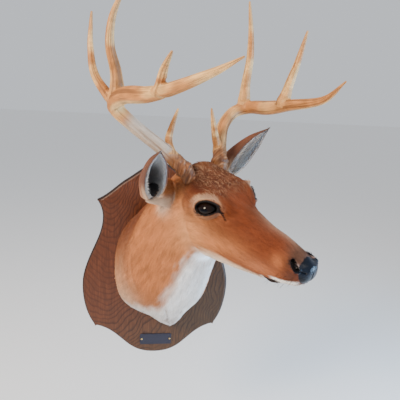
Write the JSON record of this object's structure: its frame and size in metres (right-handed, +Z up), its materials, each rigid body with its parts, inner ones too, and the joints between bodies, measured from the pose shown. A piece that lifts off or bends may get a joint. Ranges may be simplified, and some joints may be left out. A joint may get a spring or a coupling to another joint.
{
  "type": "deer shoulder mount",
  "caption": "Whitetail buck shoulder mount: turned head and neck with branching antlers, glass eyes and cupped ears on a shield-shaped oak wall board with a name plate.",
  "frame": {"origin": "on the flat back of the shield board, where the wall is: on the board's centre line, at the level where the board is widest", "axes": "+Y into the wall, so the deer looks out towards -Y; +Z up; +X to the right for someone who faces the wall"},
  "size_m": [0.42, 0.4811, 0.7809],
  "materials": {
    "coat": "short russet hair coat on a tanned hide",
    "throat_coat": "white and pale grey hair of the throat, chin and brisket",
    "ear_skin": "short hair, russet outside and greyish white inside",
    "nose_skin": "black, finely grained and slightly wet",
    "eye_glass": "dark brown glass, polished",
    "antler_bone": "hard antler, ivory to amber, lightly ridged and polished at the tips",
    "oak": "stained and varnished oak, open grain",
    "plate_metal": "dark slate blue enamel with a fine border line",
    "brass": "polished pin heads",
    "steel": "zinc plated"
  },
  "bodies": {
    "root": {"antler_left_base": "antler_bone", "antler_left_beam": "antler_bone", "antler_left_beam_end": "antler_bone", "antler_left_brow": "antler_bone", "antler_left_g2": "antler_bone", "antler_left_g3": "antler_bone", "antler_right_base": "antler_bone", "antler_right_beam": "antler_bone", "antler_right_beam_end": "antler_bone", "antler_right_brow": "antler_bone", "antler_right_g2": "antler_bone", "antler_right_g3": "antler_bone", "antler_right_outer": "antler_bone", "board_screw_1": "steel", "board_screw_2": "steel", "board_screw_3": "steel", "board_screw_4": "steel", "chest": "throat_coat", "ear_left": "ear_skin", "ear_right": "ear_skin", "eye_left": "eye_glass", "eye_right": "eye_glass", "hanger_plate": "steel", "head": "coat", "lower_jaw": "throat_coat", "name_plate": "plate_metal", "neck": "coat", "nose_pad": "nose_skin", "plate_pin_left": "brass", "plate_pin_right": "brass", "shield_board": "oak"}
  },
  "joints": []
}
